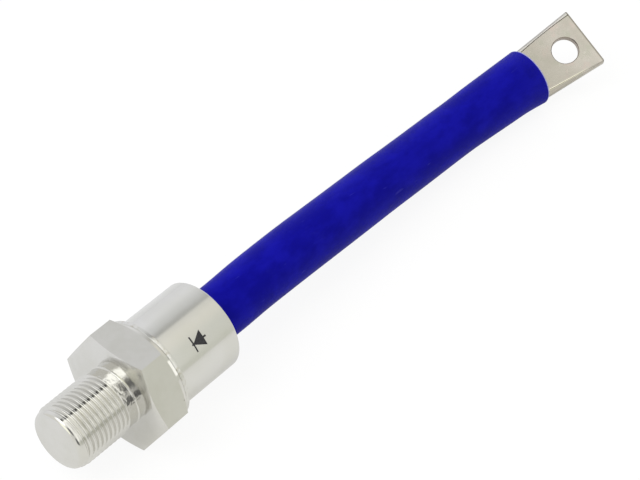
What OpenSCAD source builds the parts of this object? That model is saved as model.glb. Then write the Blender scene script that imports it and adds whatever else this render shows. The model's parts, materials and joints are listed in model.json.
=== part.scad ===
// Stud-mounted rectifier diode with a flexible insulated lead and a flat lug.
// Millimetres. It lies on one flat of its hexagon, with the stud's axis along X and the lead towards +X.
// The origin is on the surface that it lies on, under the middle of the body and its terminal tube.
// Turned pieces are drawn in their own frame: up is along the axis, and 0 is the seat face of the hexagon.

/* [Stud and hexagon] */
// Length of the stud, from the seat face to the tip
stud_len = 21.4; // [18:0.1:30]
// Outside radius of the thread (3/4 inch)
thread_r = 9.525; // [9.4:0.005:9.6]
// Length of plain neck between the seat and the thread
neck_len = 3.6; // [2.4:0.1:6]
// Radius of the plain neck
neck_r = 9; // [8.6:0.05:9.2]
// Size of the hexagon across its flats
hex_af = 32; // [31:0.1:34]
// Thickness of the hexagon, between the seat and the face behind it
hex_t = 11.1; // [9:0.1:14]
// Radius of the round seat face
seat_r = 15.1; // [14.5:0.1:15.8]

/* [Cap] */
// Outside radius of the drawn cap
cap_r = 13.7; // [13.4:0.1:13.9]
// Wall of the cap
cap_wall = 1.2; // [0.8:0.1:1.4]
// Distance from the seat face to the end of the cap
cap_end = 34.8; // [34:0.1:40]
// Radius of the cap's welded flange
flange_r = 15.7; // [15:0.1:15.9]
// Thickness of the flange
flange_t = 1.2; // [0.8:0.1:1.6]

/* [Silicon stack] */
// Radius of the silicon wafer
wafer_r = 9; // [8.6:0.1:9.2]
// Thickness of the silicon wafer
wafer_t = 0.45; // [0.3:0.05:0.6]
// Thickness of the molybdenum disc under the wafer
lower_disc_t = 1.5; // [1.2:0.1:1.6]
// Thickness of the molybdenum disc over the wafer
upper_disc_t = 1.2; // [0.9:0.1:1.3]
// Thickness of one disc spring
spring_t = 0.8; // [0.6:0.05:0.9]
// Height of the cone of one disc spring
spring_cone = 0.35; // [0.2:0.05:0.4]

/* [Lead] */
// Radius of the copper rope
rope_r = 6.3; // [6:0.1:6.4]
// Radius of the rope where it is crimped at the body
crimped_r = 4.8; // [4.5:0.1:4.8]
// Radius of the insulating sleeve along the free stretch
sleeve_r = 8.5; // [8.2:0.1:8.5]

/* [Lug] */
// Diameter of the bolt hole
lug_hole_d = 8.5; // [6.4:0.1:10.5]
// Thickness of the palm
palm_t = 3; // [2.4:0.1:3.4]
// Width of the palm at its far end
palm_w = 20.2; // [19:0.1:21]
// Width of the palm at its root
palm_root_w = 17.5; // [17:0.1:17.8]
// Distance from the hole's centre to the far end
palm_end = 8.1; // [7:0.1:10]
// Distance from the hole's centre back to the root
palm_root = 13.5; // [12:0.1:14]

/* [Hidden] */
$fn = 96;

// Height of the axis over the surface, length of tube past the cap, and place of the seat face along X
axis_h = hex_af / 2;
tube_proud = 10;
seat_x = stud_len - (stud_len + cap_end + tube_proud) / 2;
corner_r = hex_af / 2 / cos(30);

// Both chamfers of the hexagon, and the crown of the stud's tip
front_chamfer = 1.4;
rear_chamfer = 2.4;
back_face_r = 15.5;
rim_round = 0.5;
thread_start = stud_len - 2.9;
tip_face_r = 7.4;

// Steps along the axis, from the seat face
ring_seat = hex_t - 1.2;
flange_x = hex_t + 0.2;
pedestal_step = hex_t + 0.9;
stack_x = pedestal_step + 1;
foil_t = 0.2;
lower_disc_x = stack_x + foil_t;
wafer_x = lower_disc_x + lower_disc_t;
upper_disc_x = wafer_x + wafer_t;
stamp_x = upper_disc_x + upper_disc_t;
stamp_base_t = 1.65;
washer_x = stamp_x + stamp_base_t;
washer_t = 1;
thrust_x = washer_x + washer_t;
thrust_t = 1.5;
spring_x = thrust_x + thrust_t;
spring_step = spring_t + spring_cone;
ring_x = spring_x + 3 * spring_step;
ring_t = 1.25;
housing_top = ring_x + ring_t + 1;
stem_top = ring_x + ring_t + 0.4;
tube_start = stem_top + 3.4;
tube_web = cap_end - 1.2;
tube_web_t = 1.6;
tube_end = cap_end + tube_proud;

// Radii of the pieces inside
ring_in_r = 11.4;
ring_out_r = 14.6;
housing_in_r = 10.2;
groove_r = 10.8;
lower_disc_r = 9.6;
upper_disc_r = 8;
stamp_r = 7.8;
stem_r = 5.8;
insulator_r = 6.2;
washer_r = 9.4;
spring_in_r = 6.4;
spring_out_r = 9.9;
tube_r = 6;
tube_bore_r = 4.9;
eyelet_r = 10;
glass_r = 9.4;
seal_depth = 2.8;

// Centre line of the lead, from the cap's end to the sleeve's end, chosen by hand
route = [[23.1, 0, 16], [33.1, 0, 16], [43, 0.4, 15.7], [53, 0.7, 15.1], [63, 0.9, 14.5], [73, 1.1, 13.7],
    [83, 1.3, 12.9], [93, 1.6, 12], [103, 1.9, 11.1], [113, 2, 10.3], [123, 2.1, 9.6], [133, 2.1, 9.1],
    [142, 1.9, 8.8], [151, 1.5, 8.7], [159, 1, 8.7], [167, 0.5, 8.7], [175, -0.1, 8.4]];
barrel_from = 13;
barrel_to = 15;
sides = 12;

// Half width, half height and bore of the sleeve along X, where it is drawn over the tube and the lug
sleeve_wide = [[23, sleeve_r - 0.4], [69, sleeve_r], [145, sleeve_r], [152, 8.8], [162, 9], [168, 9.2],
    [175, 9.65]];
sleeve_high = [[23, sleeve_r - 0.4], [69, sleeve_r], [167, sleeve_r], [175, 6.9]];
sleeve_bore_wide = [[23, 6.5], [142, 6.5], [151, 7], [167, 7.6], [175, 9]];
sleeve_bore_high = [[23, 6.5], [142, 6.5], [151, 7], [167, 7], [175, 6.2]];
rope_wide = [[29, crimped_r], [33, crimped_r], [43, rope_r], [142, rope_r], [151, 5.3], [167, 5.3]];
section_roll = 30;

// The lug: its barrel round the rope, and its palm, turned, lifted and rolled about the lead
barrel_r = 6.6;
barrel_bore_r = 5.4;
barrel_wall = 1.2;
hole_at = [189, -3.5, 12];
palm_turn = -18;
palm_lift = 20;
palm_roll = 27;

// Direction of a vector, and of the route at point i
function unit(v) = v / norm(v);
function heading(i) =
    unit((i > 0 ? unit(route[i] - route[i - 1]) : [0, 0, 0])
        + (i < len(route) - 1 ? unit(route[i + 1] - route[i]) : [0, 0, 0]));

// Points of an oval round point c of the lead, square to direction d, rolled about it
function oval(c, d, wide, high) =
    let (across = unit(cross([0, 0, 1], d)), over = cross(d, across))
    let (a = cos(section_roll) * across + sin(section_roll) * over)
    let (b = cos(section_roll) * over - sin(section_roll) * across)
    [for (k = [0:sides - 1]) c + wide * cos(360 * k / sides) * a + high * sin(360 * k / sides) * b];

// Points of an arc in a profile: centre, radius, first and last angle
function arc(c, r, from, to, steps = 6) =
    [for (k = [0:steps]) let (t = from + (to - from) * k / steps) [c[0] + r * cos(t), c[1] + r * sin(t)]];

// Quads between ring i and the next one, whose points start at first
function wall(first, rings, turned) =
    [for (i = [0:rings - 2], k = [0:sides - 1])
        let (a = first + i * sides + k, b = first + i * sides + (k + 1) % sides)
        turned ? [a, b, b + sides, a + sides] : [a, a + sides, b + sides, b]];

// A frame whose up is the body's axis, with 0 at the seat face
module on_axis() {
    translate([seat_x, 0, axis_h]) rotate([0, 90, 0]) children();
}

// A turned piece, from its half section of radius and distance along the axis
module turned(section) {
    on_axis() rotate_extrude() polygon(section);
}

// A plain ring or washer
module ring(inner, outer, from, thick) {
    turned([[inner, from], [outer, from], [outer, from + thick], [inner, from + thick]]);
}

module disc(r, from, thick) {
    ring(0, r, from, thick);
}

// A solid swept along the route, from the points of its rings
module swept(rings) {
    points = [for (r = rings) each r];
    last = len(points) - sides;
    polyhedron(points, concat(
        wall(0, len(rings), true),
        [[for (k = [sides - 1:-1:0]) k]],
        [[for (k = [0:sides - 1]) last + k]]));
}

// The hexagon between its two chamfers, with the seat face at 0
module hexagon() {
    on_axis() intersection() {
        rotate([0, 0, 90]) cylinder(r = corner_r, h = hex_t, $fn = 6);
        rotate_extrude() polygon([[0, 0], [seat_r, 0], [corner_r, front_chamfer],
            [corner_r, hex_t - rear_chamfer], [back_face_r, hex_t], [0, hex_t]]);
    }
}

// Plated copper base, forged and turned in one piece with its stud
module stud_base() {
    color([0.83, 0.83, 0.81]) union() {
        difference() {
            hexagon();
            ring(ring_in_r, ring_out_r, ring_seat, 2);
        }
        turned([[0, 0], [neck_r, 0], [neck_r, -neck_len], [thread_r, -neck_len],
            [thread_r, -thread_start], [9, 1.5 - stud_len], [8.3, 0.4 - stud_len],
            [tip_face_r, -stud_len], [0, -stud_len]]);
        turned([[0, ring_seat - 1], [ring_in_r, ring_seat - 1], [ring_in_r, pedestal_step],
            [housing_in_r, pedestal_step], [housing_in_r, stack_x], [0, stack_x]]);
    }
}

// Steel ring brazed into the base, which the cap is welded to
module weld_ring() {
    color([0.6, 0.6, 0.6]) ring(ring_in_r, ring_out_r, ring_seat, flange_x - ring_seat);
}

// Drawn cap with its flange, round shoulder and the hole for the seal
module cap_shell() {
    inner = cap_r - cap_wall;
    flange_top = flange_x + flange_t;
    color([0.84, 0.84, 0.84]) turned(concat(
        [[inner, flange_x], [flange_r - 0.2, flange_x], [flange_r, flange_x + 0.2],
            [flange_r, flange_top - 0.3], [flange_r - 0.3, flange_top]],
        arc([cap_r + 0.5, flange_top + 0.5], 0.5, 270, 180, 3),
        arc([cap_r - rim_round, cap_end - rim_round], rim_round, 0, 90),
        [[eyelet_r, cap_end], [eyelet_r, cap_end - cap_wall], [inner, cap_end - cap_wall]]));
}

// Metal ring of the seal, brazed into the cap
module seal_eyelet() {
    color([0.68, 0.67, 0.65]) ring(glass_r, eyelet_r, cap_end - seal_depth, seal_depth);
}

module glass_seal() {
    color([0.35, 0.5, 0.55, 0.8]) ring(tube_r, glass_r, cap_end - seal_depth + 0.3, seal_depth - 0.3);
}

// Copper tube through the seal, closed by a web, with one lead crimped in each side
module terminal_tube() {
    color([0.72, 0.45, 0.3]) turned([[tube_bore_r, tube_start], [tube_r, tube_start], [tube_r, tube_end],
        [tube_bore_r, tube_end], [tube_bore_r, tube_web + tube_web_t], [0, tube_web + tube_web_t],
        [0, tube_web], [tube_bore_r, tube_web]]);
}

// Steel collar brazed on the pedestal, with a groove that holds the retaining ring
module spring_housing() {
    color([0.55, 0.56, 0.57]) turned([[housing_in_r, pedestal_step], [ring_in_r, pedestal_step],
        [ring_in_r, housing_top], [housing_in_r, housing_top], [housing_in_r, ring_x + ring_t],
        [groove_r, ring_x + ring_t], [groove_r, ring_x], [housing_in_r, ring_x]]);
}

module silver_foil() {
    color([0.9, 0.9, 0.88]) disc(lower_disc_r, stack_x, foil_t);
}

module lower_moly_disc() {
    color([0.5, 0.5, 0.52]) disc(lower_disc_r, lower_disc_x, lower_disc_t);
}

module silicon_wafer() {
    color([0.25, 0.26, 0.3]) disc(wafer_r, wafer_x, wafer_t);
}

// Rubber bead that covers the wafer's edge
module edge_coating() {
    color([0.75, 0.3, 0.2]) turned([[wafer_r, wafer_x], [lower_disc_r, wafer_x], [10, wafer_x + 0.5],
        [9.4, wafer_x + 1], [8.3, wafer_x + 0.9], [8.1, wafer_x + wafer_t], [wafer_r, wafer_x + wafer_t]]);
}

module upper_moly_disc() {
    color([0.5, 0.5, 0.52]) disc(upper_disc_r, upper_disc_x, upper_disc_t);
}

// Copper stamp that presses on the stack, with a socket for the inner lead
module contact_stamp() {
    color([0.72, 0.45, 0.3]) turned([[0, stamp_x], [stamp_r, stamp_x], [stamp_r, washer_x],
        [stem_r, washer_x], [stem_r, stem_top], [crimped_r, stem_top], [crimped_r, washer_x + 2],
        [0, washer_x + 2]]);
}

module insulating_washer() {
    color([0.85, 0.78, 0.6]) ring(insulator_r, washer_r, washer_x, washer_t);
}

module insulating_sleeve() {
    color([0.9, 0.88, 0.8]) ring(stem_r, insulator_r, washer_x, stem_top - washer_x - 0.2);
}

module thrust_washer() {
    color([0.55, 0.56, 0.57]) ring(spring_in_r, spring_out_r, thrust_x, thrust_t);
}

// A coned spring washer, number k of the stack: every other one is turned over
module disc_spring(k) {
    foot = spring_x + k * spring_step;
    outer = k % 2 == 0 ? 0 : spring_cone;
    inner = spring_cone - outer;
    color([0.4, 0.42, 0.45]) turned([[spring_out_r, foot + outer], [spring_out_r, foot + outer + spring_t],
        [spring_in_r, foot + inner + spring_t], [spring_in_r, foot + inner]]);
}

module retaining_ring() {
    color([0.4, 0.42, 0.45]) ring(spring_in_r, groove_r, ring_x, ring_t);
}

// Short copper rope from the stamp to the terminal tube, free to bulge between them
module inner_lead() {
    color([0.72, 0.4, 0.24]) turned([[0, washer_x + 2], [crimped_r, washer_x + 2], [crimped_r, stem_top],
        [crimped_r + 0.5, stem_top + 1], [crimped_r + 0.5, tube_start - 1], [crimped_r, tube_start],
        [crimped_r, tube_web], [0, tube_web]]);
}

// Flexible copper rope, from the web of the tube to the end of the lug's barrel
module lead_rope() {
    start = [seat_x + tube_web + tube_web_t, 0, axis_h];
    color([0.72, 0.4, 0.24]) swept(concat(
        [oval(start, [1, 0, 0], crimped_r, crimped_r)],
        [for (i = [1:barrel_to])
            let (r = lookup(route[i][0], rope_wide))
            oval(route[i], i < barrel_to ? heading(i) : unit(route[i] - route[i - 1]), r, r)]));
}

// Blue silicone sleeve, from the end of the cap to over the lug's shoulder
module lead_sleeve() {
    rings = len(route);
    outside = [for (i = [0:rings - 1])
        let (wide = lookup(route[i][0], sleeve_wide), high = lookup(route[i][0], sleeve_high))
        each oval(route[i], heading(i), wide, high)];
    inside = [for (i = [0:rings - 1])
        let (wide = lookup(route[i][0], sleeve_bore_wide), high = lookup(route[i][0], sleeve_bore_high))
        each oval(route[i], heading(i), wide, high)];
    n = rings * sides;
    last = n - sides;
    color([0.08, 0.07, 0.6]) polyhedron(concat(outside, inside), concat(
        wall(0, rings, true),
        wall(n, rings, false),
        [for (k = [0:sides - 1]) let (m = (k + 1) % sides) [k, k + n, m + n, m]],
        [for (k = [0:sides - 1]) let (m = (k + 1) % sides) [last + k, last + m, last + m + n, last + k + n]]));
}

// A frame on the palm, with 0 at the centre of the bolt hole and X towards the far end
module palm_frame() {
    translate(hole_at) rotate([0, 0, palm_turn]) rotate([0, -palm_lift, 0]) rotate([palm_roll, 0, 0])
        children();
}

// A frame at the mouth of the barrel, with its Z along the barrel
module barrel_frame() {
    along = route[barrel_to] - route[barrel_from];
    translate(route[barrel_from]) rotate([0, 90, atan2(along[1], along[0])]) children();
}

// Section of the flattened tube at distance x from the hole, with its two folded edges half-round
module fold_pair(x, width, thick) {
    for (side = [-1, 1]) translate([x, side * (width - thick) / 2, 0]) rotate([0, 90, 0])
        cylinder(d = thick, h = 0.01, $fn = 24);
}

// Flat of the palm, which narrows towards its root
module palm() {
    hull() {
        fold_pair(-palm_root, palm_root_w, palm_t);
        fold_pair(palm_end - 0.01, palm_w, palm_t);
    }
}

// Tinned copper lug, flattened from a tube, crimped on the rope and bent up at its palm
module lug() {
    barrel_len = norm(route[barrel_to] - route[barrel_from]);
    color([0.76, 0.73, 0.67]) difference() {
        union() {
            palm_frame() palm();
            hull() {
                palm_frame() fold_pair(0.3 - palm_root, palm_root_w - 0.3, palm_t - 0.3);
                barrel_frame() translate([0, 0, barrel_len + 0.4])
                    cylinder(r = barrel_r - 0.4, h = barrel_wall, $fn = 32);
            }
            barrel_frame() cylinder(r = barrel_r, h = barrel_len + barrel_wall);
        }
        barrel_frame() translate([0, 0, -1]) cylinder(r = barrel_bore_r, h = barrel_len + 1);
        palm_frame() cylinder(d = lug_hole_d, h = 4 * palm_t, center = true);
    }
}

stud_base();
weld_ring();
cap_shell();
seal_eyelet();
glass_seal();
terminal_tube();
spring_housing();
silver_foil();
lower_moly_disc();
silicon_wafer();
edge_coating();
upper_moly_disc();
contact_stamp();
insulating_washer();
insulating_sleeve();
thrust_washer();
disc_spring(0);  // disc_spring_1
disc_spring(1);  // disc_spring_2
disc_spring(2);  // disc_spring_3
retaining_ring();
inner_lead();
lead_rope();
lead_sleeve();
lug();
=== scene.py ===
"""Looks of a stud-mounted rectifier diode with an insulated lead and a flat lug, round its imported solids."""

import math
import json

import bmesh
import bpy
from bpy.props import FloatProperty, FloatVectorProperty, IntProperty, PointerProperty
from mathutils import Matrix, Vector


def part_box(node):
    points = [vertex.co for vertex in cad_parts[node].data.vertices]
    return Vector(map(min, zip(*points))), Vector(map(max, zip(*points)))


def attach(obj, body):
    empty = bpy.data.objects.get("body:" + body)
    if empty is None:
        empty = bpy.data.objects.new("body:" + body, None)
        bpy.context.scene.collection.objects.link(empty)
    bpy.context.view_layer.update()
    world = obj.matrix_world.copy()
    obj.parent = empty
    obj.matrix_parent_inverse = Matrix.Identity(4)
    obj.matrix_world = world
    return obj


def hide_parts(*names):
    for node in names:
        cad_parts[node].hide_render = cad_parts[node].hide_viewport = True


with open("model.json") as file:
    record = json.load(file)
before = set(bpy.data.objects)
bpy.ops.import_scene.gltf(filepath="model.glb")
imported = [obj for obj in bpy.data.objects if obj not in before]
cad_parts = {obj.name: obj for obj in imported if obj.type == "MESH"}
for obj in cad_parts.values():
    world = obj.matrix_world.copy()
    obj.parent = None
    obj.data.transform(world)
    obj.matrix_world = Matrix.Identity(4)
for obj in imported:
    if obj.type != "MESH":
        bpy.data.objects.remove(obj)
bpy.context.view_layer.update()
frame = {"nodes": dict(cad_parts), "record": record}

bl_info = {
    "name": "Stud rectifier diode",
    "version": (1, 0, 0),
    "blender": (4, 5, 0),
    "location": "View3D > Sidebar > Diode",
    "description": "Builds the visible pieces and finishes of a stud-mounted rectifier diode",
    "category": "Object",
}

MM = 0.001

# Height of the body's axis, and half the distance between two of the hexagon's flats
AXIS_Z = HALF_FLATS = 16 * MM

# The stud's tip, and the seat: the flat face under the hexagon
TIP_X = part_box("stud_base")[0].x
SEAT_X = TIP_X + 21.4 * MM

# Where the neck meets the thread, in millimetres along from the seat
NECK_START = -3.6

# Divisions in one turn of the large round shapes, and of the small ones
BODY_STEPS, SMALL_STEPS = 192, 96

# Vertices nearer than this are one
CLOSE = 1e-7

# Centre line of the lead, from the cap's end to the sleeve's end, in millimetres
ROUTE = [
    (23.1, 0, 16), (33.1, 0, 16), (43, 0.4, 15.7), (53, 0.7, 15.1), (63, 0.9, 14.5), (73, 1.1, 13.7),
    (83, 1.3, 12.9), (93, 1.6, 12), (103, 1.9, 11.1), (113, 2, 10.3), (123, 2.1, 9.6), (133, 2.1, 9.1),
    (142, 1.9, 8.8), (151, 1.5, 8.7), (159, 1, 8.7), (167, 0.5, 8.7), (175, -0.1, 8.4),
]
# Half width, half height, and half width and height of the bore at each point of the lead, in millimetres
SLEEVE_SIZES = [
    (8.1, 8.1, 6.5, 6.5), (8.2, 8.2, 6.5, 6.5), (8.28, 8.28, 6.5, 6.5), (8.36, 8.36, 6.5, 6.5),
    (8.42, 8.42, 6.5, 6.5), (8.42, 8.42, 6.5, 6.5), (8.42, 8.42, 6.5, 6.5), (8.42, 8.42, 6.5, 6.5),
    (8.42, 8.42, 6.5, 6.5), (8.42, 8.42, 6.5, 6.5), (8.42, 8.42, 6.5, 6.5), (8.42, 8.42, 6.5, 6.5),
    (8.45, 8.45, 6.5, 6.5), (8.7, 8.45, 7, 7), (8.9, 8.4, 7.2, 7), (9.1, 8.3, 7.7, 7), (9.55, 6.9, 8.9, 6.2),
]

# Direction of the lead at the sleeve's open end
MOUTH_WAY = (0.997, -0.075, -0.037)

# Turn of the sleeve's oval end about its line
SLEEVE_ROLL = math.radians(30)

# Ends of the palm from the bolt hole's centre, its width at the root and how much wider its end is, and the
# heights of its two faces, in millimetres
PALM_ROOT, PALM_END = -13.5, 8.1
PALM_WIDTH, PALM_SPREAD = 17.5, 2.7
PALM_TOP, PALM_UNDER = 1.42, -1.5

# Parts that each face of the palm is divided into across its width
FACE_PARTS = 14

# The palm's own frame: its origin in the bolt hole, X along the palm and Z square to it
PALM = (
    Matrix.Translation((0.189, -0.0035, 0.012)) @ Matrix.Rotation(math.radians(-18), 4, "Z")
    @ Matrix.Rotation(math.radians(-20), 4, "Y") @ Matrix.Rotation(math.radians(27), 4, "X")
)

# Radius at which ink lies on the cap
INK_RADIUS = 13.72 * MM

# The camera fitted to the photo: its right, up and back directions, and its place
CAMERA_TURN = ((0.64166, -0.76621, 0.03442), (0.52293, 0.46988, 0.71117), (-0.56108, -0.43833, 0.70218))
CAMERA_PLACE = (-0.29143, -0.28496, 0.46796)

# Colours of the studio's tent from one horizon beside the part over the top to the other, with their places
TENT = [
    (0.0, (0.70, 0.70, 0.62)), (0.244, (0.72, 0.72, 0.645)), (0.378, (0.82, 0.80, 0.71)),
    (0.45, (0.83, 0.81, 0.73)), (0.54, (0.75, 0.735, 0.68)), (0.558, (0.55, 0.55, 0.52)),
    (0.65, (0.70, 0.70, 0.69)), (0.717, (0.785, 0.785, 0.78)), (0.789, (0.88, 0.88, 0.88)),
    (0.861, (0.89, 0.89, 0.9)), (1.0, (0.84, 0.84, 0.85)),
]


def in_metres(points):
    return [Vector(p) * MM for p in points]


# Shader maths


class Wire:
    """An output of a shader node. Python arithmetic on it adds Math nodes to its tree."""

    def __init__(self, tree, socket):
        self.tree = tree
        self.socket = socket

    def math(self, operation, *others):
        """A Math node with this value first and the others after it."""
        return node(self.tree, "ShaderNodeMath", {"operation": operation}, dict(enumerate((self, *others))))

    def math_after(self, operation, other):
        """A Math node with another value first and this one after it."""
        return node(self.tree, "ShaderNodeMath", {"operation": operation}, {0: other, 1: self})

    def __add__(self, other):
        return self.math("ADD", other)

    def __sub__(self, other):
        return self.math("SUBTRACT", other)

    def __mul__(self, other):
        return self.math("MULTIPLY", other)

    def __truediv__(self, other):
        return self.math("DIVIDE", other)

    def __pow__(self, other):
        return self.math("POWER", other)

    __radd__ = __add__
    __rmul__ = __mul__

    def __rsub__(self, other):
        return self.math_after("SUBTRACT", other)

    def __rtruediv__(self, other):
        return self.math_after("DIVIDE", other)

    def __rpow__(self, other):
        return self.math_after("POWER", other)

    def step(self, low, high, start=0.0, end=1.0):
        """This value, eased from start to end as it goes from low to high."""
        return node(
            self.tree, "ShaderNodeMapRange", {"interpolation_type": "SMOOTHSTEP"},
            {"Value": self, "From Min": low, "From Max": high, "To Min": start, "To Max": end},
        )


def node(tree, kind, settings=None, inputs=None, output=0):
    """Adds a node, sets its settings and then its inputs, and returns one output, or all, as Wires."""
    made = tree.nodes.new(kind)
    for name, value in (settings or {}).items():
        if name == "stops":
            ramp = made.color_ramp
            while len(ramp.elements) < len(value):
                ramp.elements.new(0.5)
            for element, (place, colour) in zip(ramp.elements, value):
                element.position = place
                element.color = (*colour, 1)
        else:
            setattr(made, name, value)
    for name, value in (inputs or {}).items():
        if isinstance(value, Wire):
            tree.links.new(value.socket, made.inputs[name])
        else:
            made.inputs[name].default_value = value
    if output == "all":
        return [Wire(tree, out) for out in made.outputs]
    return Wire(tree, made.outputs[output]) if len(made.outputs) else None


def axes_of(tree, vector):
    """The three numbers of a vector."""
    return node(tree, "ShaderNodeSeparateXYZ", inputs={0: vector}, output="all")


def way_to(tree, way, direction):
    """How far a vector goes along a direction, which is 1 where it is that direction itself."""
    inputs = {0: way, 1: Vector(direction).normalized()}
    return node(tree, "ShaderNodeVectorMath", {"operation": "DOT_PRODUCT"}, inputs, "Value")


def rgba(colour):
    """A colour with its alpha, and a wire as it is."""
    return (*colour, 1) if not isinstance(colour, Wire) and len(colour) == 3 else colour


def mix_colour(tree, factor, a, b):
    """The first colour where the factor is 0, and the second where it is 1."""
    # The node has sockets for numbers first, so its two colours are 6 and 7, and the mixed one is 2
    return node(tree, "ShaderNodeMix", {"data_type": "RGBA"}, {0: factor, 6: rgba(a), 7: rgba(b)}, 2)


class Finish:
    """A procedural material: its tree, the place on the piece, and the nodes that several finishes use."""

    def __init__(self, name):
        self.material = bpy.data.materials.new(name)
        self.material.use_nodes = True
        self.tree = self.material.node_tree
        self.tree.nodes.clear()
        self.place = self.node("ShaderNodeTexCoord", output="Object")

    def node(self, kind, settings=None, inputs=None, output=0):
        return node(self.tree, kind, settings, inputs, output)

    def axes(self, vector=None):
        """The three numbers of a vector, of the place itself if none is given."""
        return axes_of(self.tree, vector or self.place)

    def vector(self, x, y, z):
        return self.node("ShaderNodeCombineXYZ", inputs={0: x, 1: y, 2: z})

    def along(self, way, start):
        """Distance of the place from a start in one direction."""
        way = Vector(way).normalized()
        return way_to(self.tree, self.place, way) - way.dot(start)

    def about_axis(self):
        """Distance along, distance from and angle about the body's axis."""
        x, y, z = self.axes()
        up = z - AXIS_Z
        return x, (y * y + up * up) ** 0.5, y.math("ARCTAN2", up)

    def noise(self, scale, detail=2.0, roughness=0.5, at=None, stretch=None):
        """Smooth random values, at the place itself or at another vector, drawn out by a stretch."""
        where = at or self.place
        if stretch:
            where = self.node("ShaderNodeMapping", inputs={"Vector": where, "Scale": stretch})
        inputs = {"Vector": where, "Scale": scale, "Detail": detail, "Roughness": roughness}
        return self.node("ShaderNodeTexNoise", inputs=inputs)

    def specks(self, scale, share, size=0.12):
        """1 at small round specks, in that share of the cells of a random pattern, and 0 elsewhere."""
        inputs = {"Vector": self.place, "Scale": scale}
        cell = self.node("ShaderNodeTexVoronoi", inputs=inputs)
        colour = self.node("ShaderNodeTexVoronoi", inputs=inputs, output="Color")
        chosen = self.axes(colour)[0].step(1 - share, 1 - share + 0.01)
        return chosen * cell.step(size, size * 0.6)

    def bump(self, height, distance, normal=None):
        """The surface's direction, turned by a height, over another direction if one is given."""
        inputs = {"Height": height, "Strength": 1.0, "Distance": distance}
        if normal:
            inputs["Normal"] = normal
        return self.node("ShaderNodeBump", inputs=inputs)

    def mix(self, factor, a, b):
        return mix_colour(self.tree, factor, a, b)

    def done(self, base, roughness, normal=None, **settings):
        """Joins the finish's wires to its shader, sets the plain values on it, and returns the material."""
        inputs = {"Base Color": rgba(base), "Roughness": roughness}
        if normal:
            inputs["Normal"] = normal
        inputs.update({name.replace("_", " "): value for name, value in settings.items()})
        shader = self.node("ShaderNodeBsdfPrincipled", inputs=inputs)
        self.node("ShaderNodeOutputMaterial", inputs={0: shader})
        return self.material


# Finishes


def bright_plate(name, colour, shade, rough, line_depth):
    """Nickel plate over a turned face: fine turning lines, soft cloudiness, and a few pits."""
    f = Finish(name)
    x, r, _ = f.about_axis()
    lines = f.noise(2600, 3, 0.7, at=f.vector(x, r, 0))
    bands = f.noise(420, 2, 0.5, at=f.vector(x, r, 0.01))
    cloud = f.noise(140, 3, 0.6)
    swell = f.noise(700, 2, 0.5)
    smudge = f.noise(60, 2, 0.5).step(0.48, 0.72)
    pits = f.specks(420, 0.05)
    base = f.mix(cloud.step(0.35, 0.7), colour, shade)
    base = f.mix(pits * 0.5, base, (0.30, 0.29, 0.27))
    roughness = rough + cloud * 0.05 + smudge * 0.05 + lines * 0.03
    on_neck = r.step(0.0093, 0.0091) * x.step(SEAT_X - 0.0042, SEAT_X - 0.0032, 0.1, 1)
    fine = f.bump(lines * 0.6 + bands * 0.4 - pits, line_depth)
    normal = f.bump((swell - 0.5) * on_neck, 0.00015, fine)
    return f.done(base, roughness, normal, Metallic=1.0)


def cap_plate(props):
    """Satin nickel plate over drawn steel: faint lines round the cap and a slight warm tone."""
    f = Finish("cap_plate")
    x, r, angle = f.about_axis()
    lines = f.noise(1500, 3, 0.65, at=f.vector(x, r, angle * 0.0004))
    cloud = f.noise(90, 3, 0.55)
    handling = f.noise(45, 2, 0.6).step(0.5, 0.75)
    pits = f.specks(380, 0.03)
    base = f.mix(cloud.step(0.35, 0.7), props.plate_colour, props.plate_shade)
    base = f.mix(pits * 0.4, base, (0.35, 0.34, 0.32))
    weld = r.step(0.0148, 0.0152)
    bead = f.noise(900, 3, 0.6)
    base = f.mix(weld * bead.step(0.5, 0.75), base, (0.58, 0.55, 0.48))
    roughness = 0.1 + cloud * 0.05 + handling * 0.05 + weld * 0.08
    fine = f.bump(lines - pits * 0.6, 0.0000008)
    return f.done(base, roughness, f.bump(bead * weld, 0.00005, fine), Metallic=1.0)


def turned_steel(name, colour, rough):
    """Bare turned or stamped metal: rings round the axis and a dull bloom."""
    f = Finish(name)
    x, r, _ = f.about_axis()
    rings = f.noise(1800, 3, 0.7, at=f.vector(x, r, 0))
    bloom = f.noise(120, 3, 0.6)
    base = f.mix(bloom.step(0.3, 0.75), colour, tuple(c * 0.8 for c in colour))
    return f.done(base, rough + bloom * 0.15, f.bump(rings, 0.000003), Metallic=1.0)


def strand_copper():
    """Fine bare copper strands that wind slowly round the rope."""
    f = Finish("copper_rope")
    x, _, angle = f.about_axis()
    wave = (angle * 36 + x * 2400).math("SINE")
    tone = f.noise(900, 2, 0.6, stretch=(0.15, 1, 1))
    base = f.mix(tone.step(0.3, 0.7), (0.74, 0.42, 0.27), (0.52, 0.27, 0.15))
    return f.done(base, 0.32 + tone * 0.15, f.bump(wave * 0.5 + 0.5, 0.00008), Metallic=1.0)


def lapped(name, colour, rough, metallic):
    """A ground or lapped face: fine even grain."""
    f = Finish(name)
    grain = f.noise(5000, 3, 0.7)
    cloud = f.noise(150, 2, 0.5)
    base = f.mix(cloud.step(0.3, 0.7), colour, tuple(c * 0.85 for c in colour))
    return f.done(base, rough + grain * 0.08, f.bump(grain, 0.000001), Metallic=metallic)


def moulded(name, colour, rough, mottle):
    """A moulded or cast insulator: slightly mottled and matt."""
    f = Finish(name)
    cloud = f.noise(mottle, 4, 0.6)
    base = f.mix(cloud.step(0.3, 0.7), colour, tuple(c * 0.78 for c in colour))
    return f.done(base, rough + cloud * 0.1, f.bump(f.noise(3000, 2), 0.000006), Specular_IOR_Level=0.4)


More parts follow.
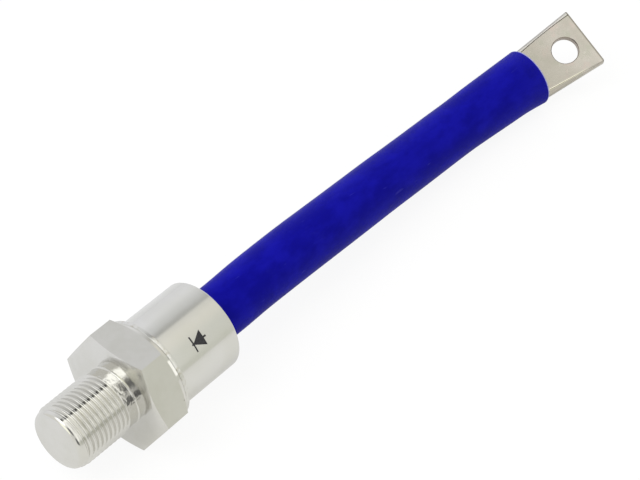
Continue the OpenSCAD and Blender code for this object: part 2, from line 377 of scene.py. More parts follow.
def sealing_glass():
    """Fused glass with small bubbles and a swirled tone."""
    f = Finish("seal_glass")
    bubbles = f.specks(1500, 0.3, 0.2)
    swirl = f.noise(260, 3, 0.6)
    base = f.mix(swirl.step(0.3, 0.7), (0.10, 0.19, 0.22), (0.16, 0.27, 0.30))
    base = f.mix(bubbles * 0.5, base, (0.4, 0.5, 0.5))
    normal = f.bump(swirl - bubbles * 0.3, 0.00003)
    return f.done(base, 0.07 + swirl * 0.05, normal, IOR=1.52, Coat_Weight=0.4)


def silicone(props):
    """Matt blue silicone rubber: faint cloudiness, pale rub marks, a fine skin, and a painted highlight on the
    cut end's lip.
    """
    f = Finish("blue_silicone")
    cloud = f.noise(210, 4, 0.6, stretch=(0.5, 1, 1))
    skin = f.noise(1500, 3, 0.6)
    rubs = f.noise(160, 4, 0.7, stretch=(0.35, 1, 1)).step(0.6, 0.8)
    scratch = f.noise(1100, 2, 0.4, stretch=(0.12, 1, 0.5)).step(0.73, 0.78)
    base = f.mix(cloud.step(0.35, 0.7), props.sleeve_colour, props.sleeve_shade)
    base = f.mix(rubs * 0.12, base, (0.05, 0.05, 0.45))
    base = f.mix(scratch * 0.12, base, (0.10, 0.10, 0.5))
    # Painted highlight: the sleeve's rounded lip at its cut end is painted pale
    lip_highlight = f.along(MOUTH_WAY, Vector(ROUTE[-1]) * MM).step(-0.0007, -0.0004)
    base = f.mix(lip_highlight * 0.8, base, (0.42, 0.43, 0.78))
    roughness = 0.4 + cloud * 0.1 + rubs * 0.1
    normal = f.bump(skin + cloud * 0.8, 0.00002)
    return f.done(base, roughness, normal, Specular_IOR_Level=0.04, Sheen_Weight=0.05, Sheen_Roughness=0.25)


def tin_plate(props):
    """Satin tin over pressed copper: press marks, faint scratches, a warm tone where the tin is thin, and
    painted highlights and shade.
    """
    f = Finish("tinned_copper")
    cloud = f.noise(120, 4, 0.6)
    tint = f.noise(260, 3, 0.6, stretch=(1.2, 0.8, 1))
    press = f.noise(420, 3, 0.6)
    scratch = f.noise(900, 2, 0.6, stretch=(0.12, 1, 1)).step(0.62, 0.7)
    base = f.mix(cloud.step(0.3, 0.72), props.tin_colour, props.tin_shade)
    base = f.mix(tint.step(0.52, 0.68) * 0.7, base, (0.58, 0.50, 0.46))
    base = f.mix(tint.step(0.48, 0.32) * 0.6, base, (0.465, 0.468, 0.395))
    base = f.mix(scratch * 0.2, base, (0.72, 0.70, 0.66))
    # Places on the palm: along it and across it from the hole, and from its two slanting sides
    u, v = f.along(PALM.col[0][:3], PALM.translation), f.along(PALM.col[1][:3], PALM.translation)
    half_at_hole, slant, rim_slant = 0.009594, 0.0625, 0.0509
    from_fold, from_rim = half_at_hole + u * slant - v, half_at_hole + u * slant + v
    # Painted shade: the palm is painted darker towards its root, by the sleeve
    base = f.mix(u.step(0.001, -0.009) * 0.55, base, (0.42, 0.40, 0.345))
    # Painted highlight: the band along the folded side is painted paler
    fold = from_fold.step(0.0013, 0.001) * u.step(-0.018, -0.015)
    base = f.mix(fold * 0.4, base, (0.72, 0.72, 0.75))
    # Painted highlight: a thin cream line along the pressed rim's ridge
    ridge_highlight = (from_rim + u * rim_slant - 0.00095).math("ABSOLUTE")
    base = f.mix(ridge_highlight.step(0.0003, 0.0001) * u.step(0.004, -0.002), base, (0.86, 0.83, 0.70))
    # Painted shade: the palm's chamfered far end is painted dark
    base = f.mix(u.step(0.0074, 0.0078) * 0.8, base, (0.20, 0.18, 0.15))
    # The bolt hole's wall: bare copper, darkened further by painted shade
    bare_and_shaded_wall = ((u * u + v * v) ** 0.5).step(0.0045, 0.00435)
    base = f.mix(bare_and_shaded_wall * 0.75, base, (0.27, 0.21, 0.17))
    roughness = 0.2 + cloud * 0.12 + press * 0.06 - scratch * 0.05
    return f.done(base, roughness, f.bump(press * 0.7 + cloud, 0.00002), Metallic=1.0)


def print_ink():
    """Black marking ink, slightly broken where it took thinly."""
    f = Finish("marking_ink")
    thin = f.noise(2600, 2, 0.6).step(0.45, 0.8)
    base = f.mix(thin * 0.5, (0.012, 0.012, 0.016), (0.10, 0.10, 0.11))
    return f.done(base, 0.45 + thin * 0.2, Specular_IOR_Level=0.4)


def wear(piece, material):
    """Gives a piece its only material."""
    piece.data.materials.clear()
    piece.data.materials.append(material)


# Meshes


def mesh_of(name, bm):
    """Turns a bmesh into a mesh, and frees it."""
    mesh = bpy.data.meshes.new(name)
    bm.to_mesh(mesh)
    bm.free()
    return mesh


def place_object(name, data):
    """Puts a new object with that data into the scene."""
    made = bpy.data.objects.new(name, data)
    bpy.context.scene.collection.objects.link(made)
    return made


def as_piece(name, bm, material, stands_for=()):
    """Turns a bmesh into a piece of the part, smooth but for its sharp edges."""
    mesh = mesh_of(name, bm)
    mesh.shade_smooth()
    mesh.set_sharp_from_angle(angle=math.radians(32))
    piece = place_object(name, mesh)
    # Large faces keep their own direction, so the light on a flat isn't bent towards its rounded edges
    flatten = piece.modifiers.new("flat_faces", "WEIGHTED_NORMAL")
    flatten.keep_sharp = True
    wear(piece, material)
    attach(piece, "root")
    if stands_for:
        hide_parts(*stands_for)
    return piece


def arc(centre_x, centre_r, radius, start, end, steps=5):
    """Points of an arc in a half section, with angles in degrees from the axis' direction."""
    angles = [math.radians(start + (end - start) * k / steps) for k in range(steps + 1)]
    return [(centre_x + radius * math.cos(a), centre_r + radius * math.sin(a)) for a in angles]


def draw_section(bm, places, closed=False):
    """Joins places by edges, and returns the vertices and edges as one list that can be spun."""
    verts = [bm.verts.new(place) for place in places]
    pairs = list(zip(verts, verts[1:])) + ([(verts[-1], verts[0])] if closed else [])
    return verts + [bm.edges.new(pair) for pair in pairs]


def merge_close(bm):
    bmesh.ops.remove_doubles(bm, verts=bm.verts, dist=CLOSE)


def facing_out(bm):
    bmesh.ops.recalc_face_normals(bm, faces=bm.faces)


def cut_away(bm, place, out):
    """Cuts away what lies outward of a plane, and returns the edges of the cut."""
    cut = bmesh.ops.bisect_plane(
        bm, geom=bm.verts[:] + bm.edges[:] + bm.faces[:], dist=1e-8, plane_co=place, plane_no=out,
        clear_outer=True,
    )
    return [e for e in cut["geom_cut"] if isinstance(e, bmesh.types.BMEdge)]


def lathe(bm, section, steps, closed=False):
    """Spins a half section about the body's axis. Its points are millimetres along from the seat, and out."""
    geom = draw_section(bm, [(SEAT_X + x * MM, 0, AXIS_Z + r * MM) for x, r in section], closed)
    bmesh.ops.spin(
        bm, geom=geom, cent=(0, 0, AXIS_Z), axis=(1, 0, 0), angle=math.tau, steps=steps, use_merge=True
    )
    merge_close(bm)


def dip_weld(bm):
    """Lowers the foot of the weld, where base and cap meet, on one side."""
    depth, middle, spread, end = 0.4, 47, 8, 11.2
    for v in bm.verts:
        along, y, up = (v.co.x - SEAT_X) / MM, v.co.y, v.co.z - AXIS_Z
        r = math.hypot(y, up)
        if 15.4 * MM < r < 15.9 * MM and 9.9 < along < 11.6:
            turn = math.degrees(math.atan2(-y, up))
            low = depth * math.exp(-(((turn - middle) / spread) ** 2)) * min(1, max(0, end - along) / 1.2)
            v.co.y -= y / r * low * MM
            v.co.z -= up / r * low * MM


def cut_flats(bm):
    """Cuts a turned blank to a hexagon, and closes each flat."""
    for k in range(6):
        turn = math.tau * k / 6
        out = Vector((0, math.sin(turn), math.cos(turn)))
        edges = cut_away(bm, Vector((0, 0, AXIS_Z)) + out * HALF_FLATS, out)
        bmesh.ops.edgeloop_fill(bm, edges=edges)


def wind_thread(bm, props, start_x, end_x):
    """Winds a right-hand thread as a strip of one pitch, and cuts both ends square."""
    pitch, depth, crest = props.pitch, props.depth, props.crest_radius
    # From a crest to the next root: shares of the pitch along, and of the depth down
    flank = [(0, 0), (0.03, 0.003), (0.065, 0.03), (0.095, 0.08), (0.12, 0.14)]
    flank += [(0.37, 0.9), (0.42, 0.975), (0.5, 1)]
    shape = flank + [(1 - x, d) for x, d in reversed(flank[:-1])]
    geom = draw_section(bm, [(start_x + (x - 1) * pitch, 0, AXIS_Z + crest - d * depth) for x, d in shape])
    turns = math.ceil((end_x - start_x) / pitch) + 2
    steps = props.thread_steps
    bmesh.ops.spin(
        bm, geom=geom, cent=(0, 0, AXIS_Z), axis=(1, 0, 0), dvec=(pitch / steps, 0, 0),
        angle=math.tau * turns, steps=steps * turns,
    )
    merge_close(bm)
    for x, way in ((start_x, -1), (end_x, 1)):
        cut_away(bm, (x, 0, 0), (way, 0, 0))


def chamfer_thread(bm, tip_x):
    """Turns the crests down to a cone where the thread runs out at the stud's tip."""
    tip_radius, slope = 8.62, 0.36
    for v in bm.verts:
        along = (v.co.x - tip_x) / MM
        limit = (tip_radius + slope * along) * MM
        r = math.hypot(v.co.y, v.co.z - AXIS_Z)
        if r > limit:
            v.co.y *= limit / r
            v.co.z = AXIS_Z + (v.co.z - AXIS_Z) * limit / r


def grow(bm, edges):
    """Extrudes open edges, and returns the new open edges and the new vertices."""
    grown = bmesh.ops.extrude_edge_only(bm, edges=edges)["geom"]
    edges = [e for e in grown if isinstance(e, bmesh.types.BMEdge) and e.is_boundary]
    return edges, [v for v in grown if isinstance(v, bmesh.types.BMVert)]


def open_edges_at(bm, x):
    return [e for e in bm.edges if e.is_boundary and all(abs(v.co.x - x) < CLOSE for v in e.verts)]


# Settings


def length_setting(name, description, default):
    return FloatProperty(name=name, description=description, default=default, unit="LENGTH", precision=6)


def power_setting(name, description, default):
    return FloatProperty(name=name, description=description, default=default, unit="POWER")


def count_setting(name, description, default, least):
    return IntProperty(name=name, description=description, default=default, min=least)


def colour_setting(name, description, default):
    return FloatVectorProperty(
        name=name, description=description, default=default, subtype="COLOR", min=0, max=1
    )


class StudSettings(bpy.types.PropertyGroup):
    """Sizes and colours of the threaded base."""

    pitch: length_setting("Thread pitch", "Distance between two crests", 1.5875 * MM)
    depth: length_setting("Thread depth", "Height of the ridges", 0.92 * MM)
    crest_radius: length_setting("Crest radius", "Outside radius of the thread", 9.52 * MM)
    thread_steps: count_setting("Steps a turn", "Divisions in one turn of the thread", 96, 24)
    edge_round: length_setting("Edge rounding", "Rounding of the hexagon's edges", 0.28 * MM)
    plate_colour: colour_setting("Plate", "Colour of the nickel plate", (0.745, 0.74, 0.72))
    plate_shade: colour_setting("Plate shade", "Duller colour of the plate", (0.71, 0.705, 0.675))


class CapSettings(bpy.types.PropertyGroup):
    """Sizes and colours of the cap and its polarity mark."""

    plate_colour: colour_setting("Plate", "Colour of the cap's plate", (0.755, 0.755, 0.745))
    plate_shade: colour_setting("Plate shade", "Duller colour of the plate", (0.725, 0.725, 0.70))
    mark_size: length_setting("Mark length", "Length of the mark's triangle", 3.75 * MM)
    mark_bar: length_setting("Mark bar", "Width of the mark's bar", 0.45 * MM)
    mark_turn: FloatProperty(
        name="Mark angle", description="Place of the mark round the cap, from the top",
        default=math.radians(43.5), subtype="ANGLE",
    )
    mark_along: length_setting("Mark place", "Distance from the seat to the triangle's point", 20.95 * MM)


class LeadSettings(bpy.types.PropertyGroup):
    """Sizes and colours of the insulated lead."""

    sections: count_setting("Sections", "Rings of the sleeve between two points of its line", 6, 1)
    sides: count_setting("Sides", "Divisions round the sleeve", 64, 12)
    lip: length_setting("Lip rounding", "Rounding of the sleeve's cut end", 0.35 * MM)
    sleeve_colour: colour_setting("Sleeve", "Colour of the silicone", (0.0022, 0.0017, 0.225))
    sleeve_shade: colour_setting("Sleeve shade", "Paler colour of the silicone", (0.0045, 0.004, 0.30))


class LugSettings(bpy.types.PropertyGroup):
    """Sizes and colours of the lug."""

    hole_radius: length_setting("Hole radius", "Radius of the bolt hole", 4.25 * MM)
    tin_colour: colour_setting("Tin", "Colour of the tin plate", (0.553, 0.523, 0.479))
    tin_shade: colour_setting("Tin shade", "Warmer colour where the tin is thin", (0.497, 0.469, 0.42))


class StageSettings(bpy.types.PropertyGroup):
    """Camera, light and floor."""

    lens: FloatProperty(name="Lens", description="Focal length of the camera", default=127.56, unit="CAMERA")
    key_power: power_setting("Key light", "Power of the soft lamp over the stud", 1.6)
    fill_power: power_setting("Fill light", "Power of the soft lamp on the other side", 0.8)
    floor_colour: colour_setting("Floor", "Colour of the floor", (0.92, 0.92, 0.92))


# Stage


class DIODE_OT_stage(bpy.types.Operator):
    """Place the camera, the floor and the soft lights"""

    bl_idname = "diode.stage"
    bl_label = "Stage"

    def execute(self, context):
        props = context.scene.diode_stage
        self.place_camera(context, props)
        self.lay_floor(props)
        self.paint_world(context)
        self.hang_lamp("key_lamp", (-0.33, 0.10, 0.52), 0.42, props.key_power)
        self.hang_lamp("fill_lamp", (0.42, 0.42, 0.55), 0.5, props.fill_power)
        context.scene.view_settings.view_transform = "Standard"
        return {"FINISHED"}

    def place_camera(self, context, props):
        data = bpy.data.cameras.new("camera")
        data.lens = props.lens
        data.sensor_width = 36
        data.sensor_fit = "HORIZONTAL"
        data.clip_start = 0.01
        data.clip_end = 20
        camera = place_object("camera", data)
        camera.matrix_world = Matrix.Translation(CAMERA_PLACE) @ Matrix(CAMERA_TURN).transposed().to_4x4()
        context.scene.camera = camera

    def lay_floor(self, props):
        """Lays paper that takes the shadow, and glows where it is seen or mirrored so that it stays white."""
        bm = bmesh.new()
        bmesh.ops.create_grid(bm, x_segments=8, y_segments=8, size=3)
        mesh = mesh_of("floor", bm)
        floor = place_object("floor", mesh)
        f = Finish("floor")
        grain = f.noise(40, 2)
        shade = f.mix(grain.step(0.3, 0.7), props.floor_colour, tuple(c * 0.99 for c in props.floor_colour))
        paper = f.node("ShaderNodeBsdfPrincipled", inputs={"Base Color": shade, "Roughness": 0.9})
        seen = f.node("ShaderNodeLightPath", output="Is Camera Ray")
        mirrored = f.node("ShaderNodeLightPath", output="Is Glossy Ray")
        through = f.node("ShaderNodeLightPath", output="Is Transmission Ray")
        _, across, _ = f.axes()
        bounce = f.mix(across.step(-0.03, 0.04), (0.75, 0.74, 0.69), (0.72, 0.725, 0.74))
        glow = f.mix(mirrored, (1, 1, 1), bounce)
        light = f.node("ShaderNodeEmission", inputs={"Color": glow, "Strength": 1.0})
        share = (seen * 0.9).math("MAXIMUM", mirrored * 0.7 + through * 0.9)
        both = f.node("ShaderNodeMixShader", inputs={0: share, 1: paper, 2: light})
        f.node("ShaderNodeOutputMaterial", inputs={0: both})
        mesh.materials.append(f.material)

    def paint_world(self, context):
        """White to the camera, and to all else a pale tent that is dark round the camera and its stand."""
        world = bpy.data.worlds.new("studio")
        world.use_nodes = True
        tree = world.node_tree
        tree.nodes.clear()
        # In a world, this output is the direction that a ray comes from
        way = node(tree, "ShaderNodeTexCoord", output="Generated")
        x, y, z = axes_of(tree, way)
        # Where a direction stands between the two horizons beside the part, 0.5 being straight up
        turn = y.math("ARCTAN2", z) / math.pi + 0.5
        tent = node(tree, "ShaderNodeValToRGB", {"stops": TENT}, {0: turn})
        beside = x.step(-0.3, -0.12)
        box = way_to(tree, way, (-0.47, 0.28, 0.84)).step(0.891, 0.988)
        opening = way_to(tree, way, (-0.55, -0.45, 0.70)).step(0.934, 0.982)
        stand = way_to(tree, way, (-0.46, -0.87, 0.12)).step(0.913, 0.978)
        low_panel = way_to(tree, way, (-0.91, 0.04, 0.34)).step(0.93, 0.97)
        front = mix_colour(tree, box, (0.82, 0.81, 0.77), (2.0, 2.0, 1.96))
        front = mix_colour(tree, low_panel, front, (1.35, 1.35, 1.15))
        front = mix_colour(tree, opening, front, (0.2, 0.2, 0.2))
        front = mix_colour(tree, stand, front, (0.15, 0.15, 0.15))
        # Over the part the tent has a bright panel, and beside that a dark gap
        above = x.step(-0.3, -0.2) * x.step(0.48, 0.45)
        panel = above * turn.step(0.06, 0.1) * turn.step(0.56, 0.54)
        gap = above * turn.step(0.545, 0.555) * turn.step(0.62, 0.6)
        side = mix_colour(tree, panel, tent, (1.3, 1.29, 1.22))
        side = mix_colour(tree, gap, side, (0.05, 0.05, 0.05))
        tone = mix_colour(tree, beside, front, side)
        seen = node(tree, "ShaderNodeLightPath", output="Is Camera Ray")
        colour = mix_colour(tree, seen, tone, (1, 1, 1))
        light = node(tree, "ShaderNodeBackground", inputs={"Color": colour, "Strength": 1.0})
        node(tree, "ShaderNodeOutputWorld", inputs={0: light})
        context.scene.world = world

    def hang_lamp(self, name, place, size, power):
        """Hangs a soft lamp that polished metal doesn't mirror, because the tent is what it shows."""
        data = bpy.data.lights.new(name, "AREA")
        data.shape = "SQUARE"
        data.size = size
        data.energy = power
        lamp = place_object(name, data)
        lamp.location = place
        lamp.rotation_euler = (Vector((0.02, 0, 0.01)) - Vector(place)).to_track_quat("-Z", "Y").to_euler()
        lamp.visible_glossy = False


# Lead


def smooth_line(rows, parts):
    """Passes a smooth curve through rows of numbers, with that many parts between two of them."""
    count, line = len(rows), []
    for i in range(count - 1):
        a, b, c, d = (rows[min(max(i + k, 0), count - 1)] for k in (-1, 0, 1, 2))
        for k in range(parts):
            t = k / parts
            line.append([
                0.5 * (
                    2 * q + (r - p) * t + (2 * p - 5 * q + 4 * r - s) * t * t
                    + (3 * q - p - 3 * r + s) * t ** 3
                )
                for p, q, r, s in zip(a, b, c, d)
            ])
    line.append(list(rows[-1]))
    return line


class DIODE_OT_sleeve(bpy.types.Operator):
    """Draw the blue sleeve along the lead, with its oval open end"""

    bl_idname = "diode.sleeve"
    bl_label = "Lead sleeve"

    def execute(self, context):
        props = context.scene.diode_lead
        line = smooth_line([(*p, *s) for p, s in zip(ROUTE, SLEEVE_SIZES)], props.sections)
        bm = bmesh.new()
        rings = []
        for i, row in enumerate(line):
            before, after = Vector(line[max(i - 1, 0)][:3]), Vector(line[min(i + 1, len(line) - 1)][:3])
            rings.append((Vector(row[:3]) * MM, (after - before).normalized(), row[3] * MM, row[4] * MM))
        # The cut end is rounded by one ring drawn back and two more, and the bore then runs back inside
        place, way, wide, high = rings[-1]
        lip = props.lip
        rings[-1] = (place - way * lip, way, wide, high)
        rings.append((place - way * lip * 0.3, way, wide - lip * 0.3, high - lip * 0.3))
        rings.append((place, way, wide - lip, high - lip))
        for row in reversed(line[2:]):
            rings.append((Vector(row[:3]) * MM, way, row[5] * MM, row[6] * MM))
        self.sweep(bm, rings, props.sides)
        facing_out(bm)
        rubber = silicone(props)
        sleeve = as_piece("lead_sleeve_skin", bm, rubber, stands_for=["lead_sleeve"])
        return {"FINISHED"}

    def sweep(self, bm, rings, sides):
        """Draws an oval along the rings, each given by its centre, direction, half width and half height."""
        loop = bmesh.ops.create_circle(bm, segments=sides, radius=1)["verts"]
        self.set_ring(loop, rings[0])
        edges = bm.edges[:]
        for ring in rings[1:]:
            edges, verts = grow(bm, edges)
            self.set_ring(verts, ring)

    def set_ring(self, verts, ring):
        """Puts a loop of vertices on one ring's oval."""
        centre, way, wide, high = ring
        level = Vector((0, 0, 1)).cross(way).normalized()
        across = Matrix.Rotation(SLEEVE_ROLL, 3, way) @ level
        over = way.cross(across)
        for k, v in enumerate(verts):
            a = math.tau * k / len(verts)
            v.co = centre + across * wide * math.cos(a) + over * high * math.sin(a)


# Base


class DIODE_OT_base(bpy.types.Operator):
    """Turn the plated base: hexagon, seat face, neck, thread and crowned tip"""

    bl_idname = "diode.base"
    bl_label = "Threaded base"

    def execute(self, context):
        props = context.scene.diode_stud
        bm = bmesh.new()
        neck = [(NECK_START, 9.0)] + arc(-0.45, 9.45, 0.45, 270, 360, 6)
        chamfer = [(0, 14.8), (1.664, 20)]
        # Rear cone of the hexagon, foot of the weld, groove for the weld ring, and pedestal inside the cap
        rear = [(7.9, 20), (10.0, 16.0)]
        foot = [(10.12, 15.82), (11.08, 15.72), (11.12, 15.5), (11.12, 14.6)]
        groove = [(9.9, 14.6), (9.9, 11.4)]
        pedestal = [(12.0, 11.4), (12.0, 10.2), (13.0, 10.2), (13.0, 0)]
        lathe(bm, neck + chamfer + rear + foot + groove + pedestal, BODY_STEPS)
        cut_flats(bm)
        facing_out(bm)
        self.round_edges(bm, props.edge_round)
        dip_weld(bm)
        self.add_stud(bm, props)
        merge_close(bm)
        facing_out(bm)
        plate = bright_plate("nickel_plate", props.plate_colour, props.plate_shade, 0.07, 0.0000012)
        as_piece("threaded_base", bm, plate, stands_for=["stud_base"])
        return {"FINISHED"}

    def round_edges(self, bm, offset):
        """Rounds the edges of the hexagon's outside: those far enough out, between the seat and the cap."""
        inside, seat, cap, sharp = 15.2, 0.01, 11.2, math.radians(12)
        edges = []
        for edge in bm.edges:
            along = [(v.co.x - SEAT_X) / MM for v in edge.verts]
            out = min(math.hypot(v.co.y, v.co.z - AXIS_Z) for v in edge.verts) / MM
            turned = len(edge.link_faces) == 2 and edge.calc_face_angle(0) > sharp
            if turned and out > inside and min(along) > seat and max(along) < cap:
                edges.append(edge)
        bmesh.ops.bevel(
            bm, geom=edges, offset=offset, offset_type="OFFSET", affect="EDGES", segments=3, profile=0.5,
            material=-1, clamp_overlap=True,
        )

    def add_stud(self, bm, props):
        """Winds the thread, turns the crowned tip, and joins tip, thread and neck."""
        start, end = TIP_X + 1.55 * MM, SEAT_X - 3.75 * MM
        stud = bmesh.new()
        wind_thread(stud, props, start, end)
        chamfer_thread(stud, TIP_X + 0.4 * MM)
        mesh = mesh_of("thread", stud)
        bm.from_mesh(mesh)
        bpy.data.meshes.remove(mesh)
        crown = arc(-20.0, 7.5, 1.4, 100, 180, 9) + [(-21.4, 0)]
        lathe(bm, crown, SMALL_STEPS)
        crown_end = SEAT_X + crown[0][0] * MM
        for x_from, x_to in ((start, crown_end), (end, SEAT_X + NECK_START * MM)):
            loops = open_edges_at(bm, x_from) + open_edges_at(bm, x_to)
            bmesh.ops.bridge_loops(bm, edges=loops)


# Cap and seal


class DIODE_OT_cap(bpy.types.Operator):
    """Draw the cap with its flange, and print the polarity mark on it"""

    bl_idname = "diode.cap"
    bl_label = "Cap and mark"

    def execute(self, context):
        props = context.scene.diode_cap
        bm = bmesh.new()
        flange = [(11.18, 12.5), (11.18, 15.55)] + arc(11.33, 15.55, 0.15, 180, 90, 3)[1:]
        flange += arc(12.25, 15.45, 0.25, 90, 0, 4)
        shoulder = arc(13.0, 14.2, 0.5, 210, 270, 4)
        rim = arc(34.3, 13.2, 0.5, 90, 0, 6)
        hole = arc(34.6, 10.2, 0.2, 0, -90, 3) + [(33.6, 10.0), (33.6, 12.5)]
        lathe(bm, flange + shoulder + rim + hole, BODY_STEPS, closed=True)
        dip_weld(bm)
        facing_out(bm)
        plate = cap_plate(props)
        as_piece("cap_skin", bm, plate, stands_for=["cap_shell"])
        self.print_mark(props)
        return {"FINISHED"}

    def print_mark(self, props):
        """Prints the diode sign: a bar, a triangle that points at it, and a short lead at each end."""
        size, bar = props.mark_size, props.mark_bar
        half = size * 0.63
        bm = bmesh.new()
        patches = (
            (-bar * 0.5, bar * 0.5, half, half), (0, size, bar * 0.3, half),
            (size, size + bar * 2, bar * 0.6, bar * 0.6), (-bar * 1.2, -bar * 0.5, bar * 0.5, bar * 0.5),
        )
        for patch in patches:
            self.print_patch(bm, props, *patch)
        as_piece("polarity_mark", bm, print_ink())

    def print_patch(self, bm, props, start, end, half_start, half_end):
        """Wraps a patch of ink round the cap, with its half height at each end."""
        patch = bmesh.ops.create_grid(bm, x_segments=8, y_segments=12, size=1)["verts"]
        for v in patch:
            t = (v.co.x + 1) / 2
            angle = props.mark_turn - v.co.y * (half_start + (half_end - half_start) * t) / INK_RADIUS
            along = SEAT_X + props.mark_along + start + (end - start) * t
            v.co = Vector((along, -INK_RADIUS * math.sin(angle), AXIS_Z + INK_RADIUS * math.cos(angle)))


class DIODE_OT_seal(bpy.types.Operator):
    """Fill the cap's end with the glass seal and its metal ring"""

    bl_idname = "diode.seal"
    bl_label = "Glass seal"

    def execute(self, context):
        bm = bmesh.new()
        meniscus = [(34.78, 6.0), (34.6, 6.25), (34.48, 6.8), (34.44, 7.7)]
        meniscus += [(34.48, 8.6), (34.6, 9.15), (34.78, 9.4)]
        lathe(bm, [(32.3, 6.0)] + meniscus + [(32.3, 9.4)], SMALL_STEPS, closed=True)
        facing_out(bm)
        as_piece("seal_glass_ring", bm, sealing_glass(), stands_for=["glass_seal"])
        bm = bmesh.new()
        ring = [(32.0, 9.4), (34.7, 9.4), (34.8, 9.5), (34.8, 9.9), (34.75, 10.0), (32.0, 10.0)]
        lathe(bm, ring, SMALL_STEPS, closed=True)
        facing_out(bm)
        alloy = turned_steel("seal_alloy", (0.62, 0.60, 0.57), 0.35)
        as_piece("seal_metal_ring", bm, alloy, stands_for=["seal_eyelet"])
        return {"FINISHED"}


# Lug


class DIODE_OT_lug(bpy.types.Operator):
    """Press the lug: barrel, shoulder and folded palm with its bolt hole"""

    bl_idname = "diode.lug"
    bl_label = "Lug"

    def execute(self, context):
        props = context.scene.diode_lug
        # The barrel lies inside the sleeve, along this stretch of the lead
        path = in_metres(ROUTE)
        start, stop = path[13], path[15]
        length = (stop - start).length
        self.barrel = Matrix.Translation(start) @ (stop - start).to_track_quat("X", "Z").to_matrix().to_4x4()
        root = self.palm_section(PALM_ROOT, 0)
        angles = [math.atan2(z * 4, y) for y, z in self.palm_outline(PALM_ROOT)]
        # Bore, open end, outside and shoulder of the barrel: place along it, and radius in millimetres
        barrel = ((length, 5.4), (0, 5.4), (0, 6.6), (length + 0.6 * MM, 6.6), (length + 1.2 * MM, 6.4))
        loops = [self.barrel_section(x, radius * MM, angles) for x, radius in barrel]
        shoulder = loops[-1]
        for t in (0.3, 0.62, 0.85):
            ease = t * t * (3 - 2 * t)
            loops.append([a.lerp(b, ease) for a, b in zip(shoulder, root)])
        for k in range(13):
            loops.append(self.palm_section(PALM_ROOT + (PALM_END - 0.3 - PALM_ROOT) * k / 12, 0))
        loops.append(self.palm_section(PALM_END - 0.08, 0.1))
        loops.append(self.palm_section(PALM_END, 0.28))
        bm = bmesh.new()
        self.loft(bm, loops)
        self.clip_corners(bm)
        self.punch_hole(bm, props)
        facing_out(bm)
        as_piece("lug_body", bm, tin_plate(props), stands_for=["lug"])
        return {"FINISHED"}

    def palm_outline(self, x):
        """Outline of the palm at a distance from the hole: a fold on one side, a pressed rim on the other."""
        t = (x - PALM_ROOT) / (PALM_END - PALM_ROOT)
        half = (PALM_WIDTH + PALM_SPREAD * t) / 2
        fold = 1.02 + 0.35 * (2 * t - 1) ** 2
        rim = 1.6 - 1.1 * t
        up = PALM_TOP + 0.07 * max(0, 1 - 1.3 * t)
        side = [(half, 0), (half, 0.7), (half - 0.08, 1.0), (half - 0.26, 1.24), (half - 0.55, 1.36)]
        side += [(half - fold + 0.16, 1.36), (half - fold, 1.05), (half - fold - 0.1, 1.4)]
        face = [(half - fold - 0.3, PALM_TOP), (rim + 0.75 - half, PALM_TOP)]
        edge = [(rim + 0.5 - half, PALM_TOP), (rim + 0.12 - half, up), (rim + 0.04 - half, up - 0.01)]
        edge += [(rim - 0.06 - half, 1.16), (rim - 0.16 - half, 1.08), (0.3 - half, 1.0)]
        edge += [(0.12 - half, 0.85), (0.02 - half, 0.55), (-half, 0.2)]
        corner = [(0, -0.9), (0.12, -1.28), (0.4, -1.46), (0.8, PALM_UNDER)]
        under = [(inward - half, z) for inward, z in corner]
        under_end = [(half - inward, z) for inward, z in reversed(corner)]
        bottom = self.spread((under[-1], under_end[0]), FACE_PARTS)[1:-1]
        return side + self.spread(face, FACE_PARTS) + edge + under + bottom + under_end

    def spread(self, ends, parts):
        """Evenly spaced points from one end to the other."""
        (y0, z0), (y1, z1) = ends
        return [(y0 + (y1 - y0) * k / parts, z0 + (z1 - z0) * k / parts) for k in range(parts + 1)]

    def palm_section(self, x, inset):
        """The palm's outline in the row frame, drawn in on all sides by an inset."""
        outline = self.palm_outline(x)
        half = max(y for y, _ in outline)
        places = [(y * (1 - inset / half), z * (1 - inset * 0.8 / -PALM_UNDER)) for y, z in outline]
        return [PALM @ (Vector((x, y, z)) * MM) for y, z in places]

    def barrel_section(self, x, radius, angles):
        """A circle round the barrel's line, with a point for each point of the palm's outline."""
        twist = math.radians(14)
        turned = [a + twist for a in angles]
        return [self.barrel @ Vector((x, radius * math.cos(a), radius * math.sin(a))) for a in turned]

    def loft(self, bm, loops):
        """Draws one loop along the others, and closes both ends."""
        verts = bmesh.ops.create_circle(bm, segments=len(loops[0]), radius=1)["verts"]
        for v, place in zip(verts, loops[0]):
            v.co = place
        edges = bm.edges[:]
        bmesh.ops.edgeloop_fill(bm, edges=edges)
        for loop in loops[1:]:
            edges, verts = grow(bm, edges)
            for v, place in zip(verts, loop):
                v.co = place
        bmesh.ops.edgeloop_fill(bm, edges=edges)

    def clip_corners(self, bm):
        """Cuts a little off the palm's two far corners."""
        half = (PALM_WIDTH + PALM_SPREAD) / 2
        for side, cut in ((1, 0.35), (-1, 0.5)):
            corner = PALM @ (Vector((PALM_END - cut, side * half, 0)) * MM)
            out = PALM.to_3x3() @ Vector((1, side, 0)).normalized()
            bmesh.ops.edgeloop_fill(bm, edges=cut_away(bm, corner, out))

    def punch_hole(self, bm, props):
        """Cuts the bolt hole with a punch, by a modifier that is then applied."""
        facing_out(bm)
        blank = place_object("lug_blank", mesh_of("lug_blank", bm.copy()))
        punch = place_object("punch", mesh_of("punch", self.shape_punch(props.hole_radius)))
        cut = blank.modifiers.new("hole", "BOOLEAN")
        cut.operation = "DIFFERENCE"
        cut.solver = "EXACT"
        cut.object = punch
        bpy.context.view_layer.update()
        made = blank.evaluated_get(bpy.context.evaluated_depsgraph_get()).to_mesh()
        bm.clear()
        bm.from_mesh(made)
        for used in (blank, punch):
            mesh = used.data
            bpy.data.objects.remove(used)
            bpy.data.meshes.remove(mesh)

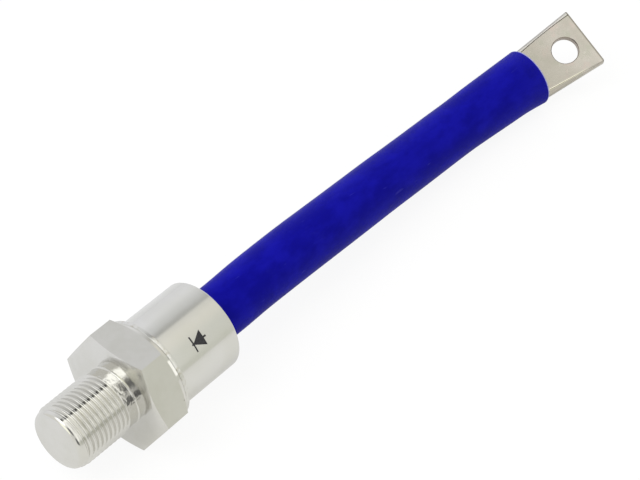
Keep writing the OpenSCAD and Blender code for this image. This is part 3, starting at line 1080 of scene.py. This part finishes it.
    def shape_punch(self, radius):
        """A round punch through the palm, wider where it passes the two faces."""
        lip, flare, end = 1.2 * MM, 0.6 * MM, 6 * MM
        shape = [(0, end), (radius + flare, end), (radius + flare, lip + flare), (radius, lip)]
        shape += [(out, -z) for out, z in reversed(shape)]
        bm = bmesh.new()
        geom = draw_section(bm, [(out, 0, z) for out, z in shape])
        bmesh.ops.spin(
            bm, geom=geom, cent=(0, 0, 0), axis=(0, 0, 1), angle=math.tau, steps=72, use_merge=True
        )
        merge_close(bm)
        bmesh.ops.transform(bm, matrix=PALM, verts=bm.verts)
        facing_out(bm)
        return bm


# Inside


class DIODE_OT_inside(bpy.types.Operator):
    """Finish the solids that are sealed in the cap or covered by the sleeve"""

    bl_idname = "diode.inside"
    bl_label = "Inner pieces"

    def execute(self, context):
        finishes = {
            "plain_steel": turned_steel("plain_steel", (0.56, 0.57, 0.58), 0.3),
            "spring_steel": turned_steel("spring_steel", (0.30, 0.31, 0.34), 0.28),
            "copper": turned_steel("copper", (0.74, 0.44, 0.30), 0.24),
            "copper_rope": strand_copper(),
            "silver": lapped("silver", (0.90, 0.89, 0.86), 0.22, 1.0),
            "molybdenum": lapped("molybdenum", (0.45, 0.45, 0.47), 0.3, 1.0),
            "silicon": lapped("silicon", (0.16, 0.17, 0.20), 0.12, 0.6),
            "edge_rubber": moulded("edge_rubber", (0.55, 0.20, 0.12), 0.5, 300),
            "insulator": moulded("insulator", (0.82, 0.76, 0.60), 0.45, 220),
        }
        for part in frame["record"]["subparts"]:
            slot = part["material_slot"]
            if slot in finishes:
                wear(frame["nodes"][part["node"]], finishes[slot])
        return {"FINISHED"}


# Panel


class DIODE_PT_pieces(bpy.types.Panel):
    """Sizes, colours and build steps of the diode"""

    bl_label = "Stud diode"
    bl_space_type = "VIEW_3D"
    bl_region_type = "UI"
    bl_category = "Diode"

    def draw(self, context):
        for name, operators in STEPS:
            box = self.layout.box()
            settings = getattr(context.scene, name, None)
            if settings:
                for prop in settings.bl_rna.properties:
                    if prop.identifier not in ("rna_type", "name"):
                        box.prop(settings, prop.identifier)
            for operator in operators:
                box.operator(operator.bl_idname)


SETTINGS = {
    "diode_stage": StageSettings,
    "diode_lead": LeadSettings,
    "diode_stud": StudSettings,
    "diode_cap": CapSettings,
    "diode_lug": LugSettings,
}
STEPS = [
    ("diode_stage", [DIODE_OT_stage]),
    ("diode_lead", [DIODE_OT_sleeve]),
    ("diode_stud", [DIODE_OT_base]),
    ("diode_cap", [DIODE_OT_cap, DIODE_OT_seal]),
    ("diode_lug", [DIODE_OT_lug]),
    ("diode_inside", [DIODE_OT_inside]),
]
CLASSES = [*SETTINGS.values(), *(operator for _, step in STEPS for operator in step), DIODE_PT_pieces]


def register():
    for cls in CLASSES:
        bpy.utils.register_class(cls)
    for name, cls in SETTINGS.items():
        setattr(bpy.types.Scene, name, PointerProperty(type=cls))


def unregister():
    for name in SETTINGS:
        delattr(bpy.types.Scene, name)
    for cls in reversed(CLASSES):
        bpy.utils.unregister_class(cls)


def main():
    register()
    bpy.ops.diode.stage()
    bpy.ops.diode.lug()
    bpy.ops.diode.sleeve()
    bpy.ops.diode.base()
    bpy.ops.diode.cap()
    bpy.ops.diode.seal()
    bpy.ops.diode.inside()
    bpy.context.view_layer.update()


if __name__ == "__main__":
    main()
